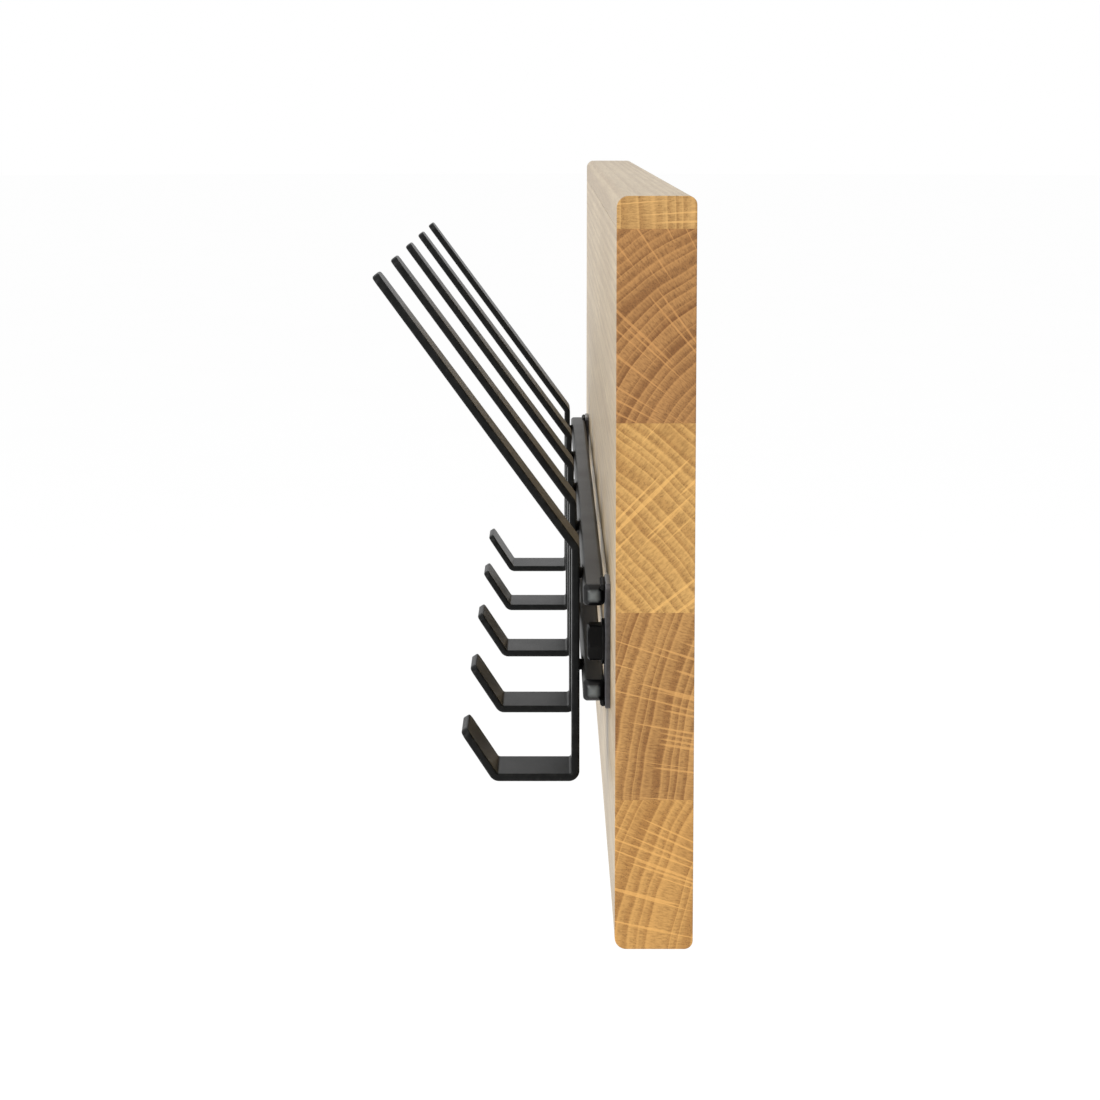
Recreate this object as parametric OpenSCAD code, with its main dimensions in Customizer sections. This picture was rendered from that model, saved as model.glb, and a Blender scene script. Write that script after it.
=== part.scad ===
// Wall hook rack: an edge-glued oak board carrying a welded steel rail with five flat-bar hooks.
// Millimetres. Origin: centre of the board's back face. +X along the board, +Y towards the wall, +Z up.

/* [Board] */
// Length of the board along X
board_length = 600; // [560:10:700]
// Thickness of the board, back face to front face
board_thickness = 27; // [25:1:32]
// Width of the narrow stave at the top
stave_top_w = 11; // [9:0.5:14]
// Width of the upper stave
stave_upper_w = 65.7; // [64:0.1:68]
// Width of the middle stave
stave_middle_w = 65.1; // [64:0.1:67]
// Width of the lower stave
stave_lower_w = 65.3; // [64:0.1:67]
// Width of the bottom stave
stave_bottom_w = 52.9; // [48:0.1:60]
// Rounding of the long front edges
front_round = 4; // [2:0.5:6]
// Rounding of the long back edges
back_round = 3; // [1:0.5:5]
// Easing of the arrises at the two sawn ends
end_ease = 0.4; // [0.3:0.1:1.5]

/* [Rail] */
// Outside width of the square tubes
tube_size = 8; // [8:0.5:9]
// Wall thickness of the tubes
tube_wall = 1; // [0.8:0.1:1.2]
// Outside corner radius of the tubes
tube_corner = 1.5; // [1.2:0.1:1.8]
// Length of each tube without its caps
tube_length = 464; // [462:1:480]
// Height of the upper tube's centre line
upper_tube_z = -20; // [-21:0.5:-19]
// Height of the lower tube's centre line
lower_tube_z = -56; // [-58:0.5:-55]
// Height of the domed head of an end cap
cap_head = 3.4; // [2.6:0.1:3.8]
// Length of the plug of an end cap inside its tube
cap_plug = 7; // [4:0.5:12]

/* [Brackets] */
// Distance of each bracket plate's centre from the middle of the board
plate_x = 230; // [226:0.5:230]
// Width of a bracket plate
plate_w = 20; // [18:0.5:20]
// Height of a bracket plate
plate_h = 47; // [46:0.5:52]
// Thickness of a bracket plate
plate_t = 2; // [1.2:0.1:2.4]
// Size of the weld bead between tube and plate
bead_r = 1.3; // [1:0.1:1.5]

/* [Fasteners] */
// Width across flats of the hexagon head
bolt_af = 13; // [12:0.5:13]
// Height of the hexagon head
bolt_head = 5.3; // [4.5:0.1:5.5]
// Shank diameter of the lag bolt
bolt_d = 8; // [6:0.5:8]
// Length of the lag bolt under its head
bolt_length = 25; // [20:1:25]
// Outside diameter of the washer
washer_d = 17; // [16:0.5:18]
// Thickness of the washer
washer_t = 1.2; // [1:0.1:1.6]

/* [Hooks] */
// Width of the flat bar
hook_w = 25; // [20:1:30]
// Thickness of the flat bar
hook_t = 3; // [2.5:0.1:3.5]
// Distance from one hook to the next
hook_pitch = 100; // [90:1:100]
// Height of the bend under the long upper arm
hook_bend_z = -6.5; // [-8:0.5:-5]
// Angle of the upper arm from vertical
arm_angle = 36.3; // [30:0.1:42]
// Length of the upper arm from its bend to its tip
arm_length = 128.3; // [110:0.1:140]
// Height of the vertical bar, bend to bend
bar_length = 89; // [84:0.5:100]
// Depth of the lower foot, bend to bend
foot_length = 30.7; // [25:0.1:40]
// Angle of the lower lip from vertical
lip_angle = 33.3; // [20:0.1:45]
// Length of the lower lip from its bend to its tip
lip_length = 21.9; // [16:0.1:30]
// Radius of every bend, on the bar's middle line
bend_r = 2.5; // [2.2:0.1:4]
// Width of the bar at the tip of the upper arm, to which the arm tapers
arm_tip_w = 15; // [13:0.5:19]
// Rounding of the corners at the bar's two cut ends
bar_corner = 3.5; // [2:0.1:4.5]
// Diameter of the weld studs behind each hook
stud_d = 4.6; // [3.5:0.1:5]
// Gap between a hook's back and the tubes
stud_gap = 1; // [0.8:0.1:2]

/* [Hangers] */
// Distance between the two keyhole plates
hanger_spacing = 400; // [300:10:480]
// Height of the keyhole plates' centres
hanger_z = 86; // [82:0.5:88]
// Length of a keyhole plate
hanger_h = 50; // [48:0.5:54]
// Width of a keyhole plate
hanger_w = 18; // [17:0.5:20]
// Thickness of a keyhole plate
hanger_t = 2; // [1.6:0.1:2.4]
// Diameter of the keyhole's entry
keyhole_d = 10; // [9:0.5:10]
// Width of the keyhole's slot
keyhole_slot = 5; // [4.5:0.1:5.5]
// Depth of the pocket behind a keyhole plate
pocket_depth = 11; // [9:0.5:13]

/* [Hidden] */
$fn = 64;
oak = [0.80, 0.67, 0.47];
coat = [0.16, 0.16, 0.17];
dark = [0.10, 0.10, 0.11];
zinc = [0.66, 0.67, 0.68];
board_height = stave_top_w + stave_upper_w + stave_middle_w + stave_lower_w + stave_bottom_w;
z_top = board_height / 2;
z_a = z_top - stave_top_w;
z_b = z_a - stave_upper_w;
z_c = z_b - stave_middle_w;
z_d = z_c - stave_lower_w;
front_y = -board_thickness;
plate_y = front_y - plate_t;
tube_back_y = plate_y;
tube_y = tube_back_y - tube_size / 2;
tube_front_y = tube_back_y - tube_size;
hook_back_y = tube_front_y - stud_gap;
plate_z = (upper_tube_z + lower_tube_z) / 2;
stud_rise = tube_size / 2 - stud_d / 2 + 0.1;
hook_f = -hook_back_y + hook_t / 2;

// ---- helpers ----

// The waste at a corner that is rounded to radius r: corner at the origin, material towards +x +y.
module corner_waste(r) {
    difference() {
        translate([-1, -1]) square([r + 1, r + 1]);
        translate([r, r]) circle(r = r);
    }
}

// A rectangle centred on the origin with all four corners rounded.
module rounded(w, h, r) {
    difference() {
        translate([-w / 2, -h / 2]) square([w, h]);
        for (a = [0, 1]) for (b = [0, 1])
            mirror([a, 0]) mirror([0, b]) translate([-w / 2, -h / 2]) corner_waste(r);
    }
}

// Lays a profile drawn as (distance in front of the wall, height) along X, centred on x = 0.
module along_x(length) {
    rotate([90, 0, -90]) linear_extrude(height = length, center = true) children();
}

// ---- board ----

module board_profile() {
    difference() {
        translate([0, -z_top]) square([board_thickness, board_height]);
        for (b = [0, 1]) mirror([0, b]) {
            translate([0, -z_top]) corner_waste(back_round);
            translate([board_thickness, -z_top]) mirror([1, 0]) corner_waste(front_round);
        }
    }
}

module board_blank() {
    e = end_ease;
    l = board_length / 2;
    t = board_thickness;
    intersection() {
        along_x(board_length) board_profile();
        translate([0, 0, -z_top - 1]) linear_extrude(height = board_height + 2)
            polygon([[-l, -e], [-l + e, 0], [l - e, 0], [l, -e], [l, e - t], [l - e, -t], [e - l, -t], [-l, e - t]]);
        translate([0, 1, 0]) rotate([90, 0, 0]) linear_extrude(height = t + 2)
            polygon([[-l, e - z_top], [e - l, -z_top], [l - e, -z_top], [l, e - z_top], [l, z_top - e], [l - e, z_top], [e - l, z_top], [-l, z_top - e]]);
    }
}

module stave(low, high) {
    intersection() {
        board_blank();
        translate([-board_length, -board_thickness - 5, low]) cube([2 * board_length, board_thickness + 10, high - low]);
    }
}

module stave_top() { color(oak) stave(z_a, z_top + 5); }

module stave_upper() {
    color(oak) difference() {
        stave(z_b, z_a);
        for (s = [-1, 1]) translate([s * hanger_spacing / 2, 0, hanger_z]) {
            rotate([90, 0, 0]) translate([0, 0, -1]) linear_extrude(height = hanger_t + 1) hanger_outline();
            rotate([90, 0, 0]) linear_extrude(height = pocket_depth) pocket_outline();
            for (e = [-1, 1]) translate([0, -hanger_t, e * (hanger_h / 2 - 5)]) rotate([90, 0, 0]) cylinder(r = 1.4, h = 10);
        }
    }
}

module stave_middle() { color(oak) stave(z_c, z_b); }

module stave_lower() {
    color(oak) difference() {
        stave(z_d, z_c);
        for (s = [-1, 1]) translate([s * plate_x, front_y - 1, plate_z]) rotate([-90, 0, 0]) {
            cylinder(r = bolt_d / 2, h = bolt_length - washer_t - plate_t - 3 + 1);
            translate([0, 0, bolt_length - washer_t - plate_t - 3 + 1]) cylinder(r1 = bolt_d / 2, r2 = 1, h = 3);
        }
    }
}

module stave_bottom() { color(oak) stave(-z_top - 5, z_d); }

// ---- rail ----

module tube_at(z) {
    color(coat) translate([0, tube_y, z]) rotate([90, 0, -90])
        linear_extrude(height = tube_length, center = true) difference() {
            rounded(tube_size, tube_size, tube_corner);
            rounded(tube_size - 2 * tube_wall, tube_size - 2 * tube_wall, tube_corner - 0.9);
        }
}

module rail_tube_upper() { tube_at(upper_tube_z); }
module rail_tube_lower() { tube_at(lower_tube_z); }

// Domed cap standing on the end of a tube that points along +X.
module cap() {
    inner = tube_size - 2 * tube_wall;
    dome_r = 5.5;
    color(dark) {
        intersection() {
            rotate([90, 0, 90]) linear_extrude(height = cap_head) rounded(tube_size, tube_size, tube_corner);
            translate([cap_head - dome_r, 0, 0]) sphere(r = dome_r);
        }
        translate([-cap_plug, 0, 0]) rotate([90, 0, 90]) linear_extrude(height = cap_plug) difference() {
            rounded(inner, inner, tube_corner - 0.9);
            rounded(inner - 2, inner - 2, 0.4);
        }
    }
}

module cap_at(side, z) {
    translate([0, tube_y, z]) mirror([side < 0 ? 1 : 0, 0, 0]) translate([tube_length / 2, 0, 0]) cap();
}

module end_cap_upper_left() { cap_at(-1, upper_tube_z); }
module end_cap_upper_right() { cap_at(1, upper_tube_z); }
module end_cap_lower_left() { cap_at(-1, lower_tube_z); }
module end_cap_lower_right() { cap_at(1, lower_tube_z); }

// ---- brackets ----

module plate_at(side) {
    color(coat) translate([side * plate_x, front_y, plate_z]) rotate([90, 0, 0])
        linear_extrude(height = plate_t) difference() {
            rounded(plate_w, plate_h, 2);
            circle(r = bolt_d / 2 + 0.4);
        }
}

module bracket_plate_left() { plate_at(-1); }
module bracket_plate_right() { plate_at(1); }

// Weld beads in the corners above the upper tube and below the lower tube.
module welds_at(side) {
    color(coat) translate([side * plate_x, 0, 0]) {
        for (b = [0, 1]) translate([0, 0, plate_z]) mirror([0, 0, b])
            along_x(plate_w - 4) difference() {
                intersection() {
                    translate([-plate_y + 0.5, (upper_tube_z - lower_tube_z) / 2 + tube_size / 2]) circle(r = bead_r);
                    translate([-plate_y, 0]) square([5, 60]);
                }
                translate([-tube_y, (upper_tube_z - lower_tube_z) / 2]) rounded(tube_size, tube_size, tube_corner);
            }
    }
}

module bracket_welds_left() { welds_at(-1); }
module bracket_welds_right() { welds_at(1); }

// ---- fasteners ----

module lag_bolt() {
    flat = bolt_af / 2;
    point = flat / cos(30);
    reach = bolt_length;
    translate([0, plate_y - washer_t, 0]) {
        rotate([90, 0, 0]) intersection() {
            linear_extrude(height = bolt_head) polygon([for (i = [0:5]) [point * cos(60 * i), point * sin(60 * i)]]);
            cylinder(r1 = point + 4, r2 = flat - 0.2, h = bolt_head);
        }
        rotate([-90, 0, 0]) {
            cylinder(r = bolt_d / 2, h = reach - 3);
            translate([0, 0, reach - 3]) cylinder(r1 = bolt_d / 2, r2 = 1, h = 3);
        }
    }
}

module lag_bolt_left() { color(dark) translate([-plate_x, 0, plate_z]) lag_bolt(); }
module lag_bolt_right() { color(dark) translate([plate_x, 0, plate_z]) lag_bolt(); }

module washer_at(side) {
    color(dark) translate([side * plate_x, plate_y, plate_z]) rotate([90, 0, 0])
        linear_extrude(height = washer_t) difference() {
            circle(r = washer_d / 2);
            circle(r = bolt_d / 2 + 0.2);
        }
}

module washer_left() { washer_at(-1); }
module washer_right() { washer_at(1); }

// ---- hooks ----

// Corners of the bar's middle line, tip to tip, as (distance in front of the wall, height).
arm_tip = [hook_f + arm_length * sin(arm_angle), hook_bend_z + arm_length * cos(arm_angle)];
lip_root = [hook_f + foot_length, hook_bend_z - bar_length];
lip_tip = [lip_root[0] + lip_length * sin(lip_angle), lip_root[1] + lip_length * cos(lip_angle)];
path = [arm_tip, [hook_f, hook_bend_z], [hook_f, hook_bend_z - bar_length], lip_root, lip_tip];

// Left-hand unit normal of the run from corner i to the next one.
function side(i) = let (d = path[i + 1] - path[i]) [-d[1], d[0]] / norm(d);
// Centre of the bend at corner i: bend_r to the left of both runs that meet there.
function centre(i) = path[i] + bend_r * (side(i - 1) + side(i)) / (1 + side(i - 1) * side(i));
function heading(i) = atan2(side(i)[1], side(i)[0]);
// The bar's face round the bend at corner i, at radius r.
bend_steps = 12;
function round_bend(i, r) = let (a = heading(i - 1), turn = (heading(i) - a + 360) % 360)
    [for (k = [0:bend_steps]) centre(i) - r * [cos(a + turn * k / bend_steps), sin(a + turn * k / bend_steps)]];
function back_to_front(v) = [for (k = [len(v) - 1:-1:0]) v[k]];

module hook_profile() {
    outer = bend_r + hook_t / 2;
    inner = bend_r - hook_t / 2;
    first = path[0] + end_over * (path[0] - path[1]) / norm(path[0] - path[1]);
    last = path[4] + end_over * (path[4] - path[3]) / norm(path[4] - path[3]);
    polygon(concat(
        [first - side(0) * hook_t / 2], round_bend(1, outer), round_bend(2, outer), round_bend(3, outer),
        [last - side(3) * hook_t / 2, last + side(3) * hook_t / 2],
        back_to_front(round_bend(3, inner)), back_to_front(round_bend(2, inner)), back_to_front(round_bend(1, inner)),
        [first + side(0) * hook_t / 2]));
}

// What is cut from an end of the bar, which runs away along +x from the end: it leaves the end tip_w wide
// with rounded corners, and widens to the full bar over the length given as run.
end_over = 1;
module end_waste(tip_w, run) {
    full = hook_w / 2 + 0.05;
    slope = (full - tip_w / 2) / run;
    lean = atan(slope);
    middle = tip_w / 2 + slope * bar_corner - bar_corner / cos(lean);
    upper = [for (k = [0:8]) let (a = 180 - k * (90 - lean) / 8) [bar_corner + bar_corner * cos(a), middle + bar_corner * sin(a)]];
    rotate([90, 0, 0]) linear_extrude(height = 2 * hook_t, center = true) difference() {
        translate([-2 * end_over, -hook_w]) square([run + 2 * end_over, 2 * hook_w]);
        polygon(concat(upper, [[run + 1, full + slope], [run + 1, -full - slope]], [for (p = back_to_front(upper)) [p[0], -p[1]]]));
    }
}

module hook_at(i) {
    color(coat) translate([(3 - i) * hook_pitch, 0, 0]) rotate([90, 0, -90]) difference() {
        linear_extrude(height = hook_w, center = true) hook_profile();
        translate([arm_tip[0], arm_tip[1], 0]) rotate([0, 0, 270 - arm_angle]) end_waste(arm_tip_w, arm_length - 12);
        translate([lip_tip[0], lip_tip[1], 0]) rotate([0, 0, 270 - lip_angle]) end_waste(hook_w, 8);
    }
}

module hook_1() { hook_at(1); }
module hook_2() { hook_at(2); }
module hook_3() { hook_at(3); }
module hook_4() { hook_at(4); }
module hook_5() { hook_at(5); }

// Five short round weld studs between one tube and the hooks' backs.
module studs_at(z) {
    color(coat) for (i = [1:5]) translate([(3 - i) * hook_pitch, 0, 0]) difference() {
        translate([0, hook_back_y, z + stud_rise]) rotate([-90, 0, 0]) cylinder(r = stud_d / 2, h = stud_gap + 1);
        translate([0, tube_y, z]) rotate([90, 0, -90]) linear_extrude(height = 20, center = true) rounded(tube_size, tube_size, tube_corner);
    }
}

module weld_studs_upper() { studs_at(upper_tube_z); }
module weld_studs_lower() { studs_at(lower_tube_z); }

// ---- hangers ----

// Seen from the back: a flat plate with round ends.
module hanger_outline() {
    r = hanger_w / 2;
    translate([-r, -(hanger_h / 2 - r)]) square([hanger_w, hanger_h - 2 * r]);
    for (e = [-1, 1]) translate([0, e * (hanger_h / 2 - r)]) circle(r = r);
}

module pocket_outline() {
    for (e = [0, 1]) translate([0, -5 + e * 10]) circle(r = keyhole_d / 2 + 0.5);
    translate([-keyhole_d / 2 - 0.5, -5]) square([keyhole_d + 1, 10]);
}

module hanger_at(side) {
    color(zinc) translate([side * hanger_spacing / 2, 0, hanger_z]) rotate([90, 0, 0]) difference() {
        linear_extrude(height = hanger_t) difference() {
            hanger_outline();
            translate([0, -5]) circle(r = keyhole_d / 2);
            translate([-keyhole_slot / 2, -5]) square([keyhole_slot, 11]);
            translate([0, 6]) circle(r = keyhole_slot / 2);
            for (e = [-1, 1]) translate([0, e * (hanger_h / 2 - 5)]) circle(r = 1.6);
        }
        for (e = [-1, 1]) translate([0, e * (hanger_h / 2 - 5), -0.001]) cylinder(r1 = 3.001, r2 = 1.6, h = 1.4);
    }
}

module hanger_plate_left() { hanger_at(-1); }
module hanger_plate_right() { hanger_at(1); }

// Countersunk wood screws, two in each keyhole plate.
module hanger_screws() {
    color(zinc) for (s = [-1, 1]) for (e = [-1, 1])
        translate([s * hanger_spacing / 2, -0.05, hanger_z + e * (hanger_h / 2 - 5)]) rotate([90, 0, 0]) difference() {
            union() {
                cylinder(r1 = 2.9, r2 = 1.4, h = 1.5);
                cylinder(r = 1.4, h = hanger_t + 9);
            }
            for (q = [0, 1]) rotate(90 * q) translate([-1.5, -0.3, -1]) cube([3, 0.6, 1.8]);
        }
}

stave_top();
stave_upper();
stave_middle();
stave_lower();
stave_bottom();
rail_tube_upper();
rail_tube_lower();
end_cap_upper_left();
end_cap_upper_right();
end_cap_lower_left();
end_cap_lower_right();
bracket_plate_left();
bracket_plate_right();
bracket_welds_left();
bracket_welds_right();
lag_bolt_left();
lag_bolt_right();
washer_left();
washer_right();
hook_1();
hook_2();
hook_3();
hook_4();
hook_5();
weld_studs_upper();
weld_studs_lower();
hanger_plate_left();
hanger_plate_right();
hanger_screws();
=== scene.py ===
import bpy
import math
import random
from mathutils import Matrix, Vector


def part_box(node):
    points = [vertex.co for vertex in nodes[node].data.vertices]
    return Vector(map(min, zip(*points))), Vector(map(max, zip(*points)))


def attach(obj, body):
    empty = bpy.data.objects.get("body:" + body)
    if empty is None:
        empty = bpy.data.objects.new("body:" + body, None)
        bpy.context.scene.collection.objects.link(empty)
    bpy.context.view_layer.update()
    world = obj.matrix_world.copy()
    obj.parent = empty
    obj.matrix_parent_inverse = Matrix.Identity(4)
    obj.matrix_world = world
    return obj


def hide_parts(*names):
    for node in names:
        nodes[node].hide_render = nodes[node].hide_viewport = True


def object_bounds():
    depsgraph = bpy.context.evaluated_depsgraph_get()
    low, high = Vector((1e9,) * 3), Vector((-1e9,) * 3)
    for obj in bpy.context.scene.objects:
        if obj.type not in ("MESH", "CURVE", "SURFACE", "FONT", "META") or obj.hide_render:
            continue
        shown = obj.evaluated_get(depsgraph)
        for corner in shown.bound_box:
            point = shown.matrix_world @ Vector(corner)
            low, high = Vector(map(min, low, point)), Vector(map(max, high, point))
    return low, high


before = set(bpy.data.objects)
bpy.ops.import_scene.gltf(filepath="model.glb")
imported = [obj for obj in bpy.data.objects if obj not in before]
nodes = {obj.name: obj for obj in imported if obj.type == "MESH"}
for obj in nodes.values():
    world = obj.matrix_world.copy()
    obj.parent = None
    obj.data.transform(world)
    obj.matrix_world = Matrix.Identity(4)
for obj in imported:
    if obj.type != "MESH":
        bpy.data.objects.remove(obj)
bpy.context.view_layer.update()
MM = 0.001
random.seed(7)


def box_mm(node):
    lo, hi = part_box(node)
    return [v * 1000 for v in lo], [v * 1000 for v in hi]


# ------------------------------------------------------------------ materials

class Tree:
    """Short names for building a node tree."""

    def __init__(self, name, base, rough, metallic=0.0):
        self.mat = bpy.data.materials.new(name)
        self.mat.use_nodes = True
        self.mat.diffuse_color = (*base, 1)
        self.t = self.mat.node_tree
        self.t.nodes.clear()
        self.out = self.t.nodes.new("ShaderNodeOutputMaterial")
        self.bsdf = self.t.nodes.new("ShaderNodeBsdfPrincipled")
        self.t.links.new(self.bsdf.outputs[0], self.out.inputs[0])
        self.bsdf.inputs["Base Color"].default_value = (*base, 1)
        self.bsdf.inputs["Roughness"].default_value = rough
        self.bsdf.inputs["Metallic"].default_value = metallic

    def put(self, value, socket):
        if isinstance(value, bpy.types.NodeSocket):
            self.t.links.new(value, socket)
        elif isinstance(value, (tuple, list)):
            socket.default_value = (*value, 1) if len(value) == 3 and socket.type == "RGBA" else value
        else:
            socket.default_value = value

    def m(self, op, a, b=0.0, c=None, clamp=False):
        n = self.t.nodes.new("ShaderNodeMath")
        n.operation = op
        n.use_clamp = clamp
        self.put(a, n.inputs[0])
        self.put(b, n.inputs[1])
        if c is not None:
            self.put(c, n.inputs[2])
        return n.outputs[0]

    def split(self, v):
        n = self.t.nodes.new("ShaderNodeSeparateXYZ")
        self.put(v, n.inputs[0])
        return n.outputs[0], n.outputs[1], n.outputs[2]

    def vec(self, x, y, z):
        n = self.t.nodes.new("ShaderNodeCombineXYZ")
        for v, s in zip((x, y, z), n.inputs):
            self.put(v, s)
        return n.outputs[0]

    def where(self, scale=1000.0):
        n = self.t.nodes.new("ShaderNodeTexCoord")
        s = self.t.nodes.new("ShaderNodeVectorMath")
        s.operation = "SCALE"
        self.put(n.outputs["Object"], s.inputs[0])
        s.inputs["Scale"].default_value = scale
        return s.outputs[0]

    def noise(self, v, scale, detail=2.0, rough=0.5, out="Fac"):
        n = self.t.nodes.new("ShaderNodeTexNoise")
        self.put(v, n.inputs["Vector"])
        n.inputs["Scale"].default_value = scale
        n.inputs["Detail"].default_value = detail
        n.inputs["Roughness"].default_value = rough
        return n.outputs[out]

    def cells(self, v, scale, out="Distance"):
        n = self.t.nodes.new("ShaderNodeTexVoronoi")
        self.put(v, n.inputs["Vector"])
        n.inputs["Scale"].default_value = scale
        return n.outputs[out]

    def ramp(self, fac, *stops):
        n = self.t.nodes.new("ShaderNodeValToRGB")
        self.put(fac, n.inputs[0])
        e = n.color_ramp.elements
        while len(e) < len(stops):
            e.new(0.5)
        for el, (pos, col) in zip(e, stops):
            el.position = pos
            el.color = (col, col, col, 1) if isinstance(col, (int, float)) else (*col, 1)
        return n.outputs[0]

    def mix(self, fac, a, b, kind="MIX"):
        n = self.t.nodes.new("ShaderNodeMix")
        n.data_type = "RGBA"
        n.blend_type = kind
        self.put(fac, n.inputs[0])
        self.put(a, n.inputs[6])
        self.put(b, n.inputs[7])
        return n.outputs[2]

    def fit(self, v, a, b, c=0.0, d=1.0):
        n = self.t.nodes.new("ShaderNodeMapRange")
        self.put(v, n.inputs[0])
        for i, x in enumerate((a, b, c, d)):
            n.inputs[i + 1].default_value = x
        return n.outputs[0]

    def bump(self, height, strength, distance):
        n = self.t.nodes.new("ShaderNodeBump")
        self.put(height, n.inputs["Height"])
        n.inputs["Strength"].default_value = strength
        n.inputs["Distance"].default_value = distance
        self.t.links.new(n.outputs[0], self.bsdf.inputs["Normal"])
        return n


def srgb(r, g, b):
    f = lambda c: (c / 255 / 12.92) if c <= 10 else ((c / 255 + 0.055) / 1.055) ** 2.4
    return (f(r), f(g), f(b))


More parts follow.
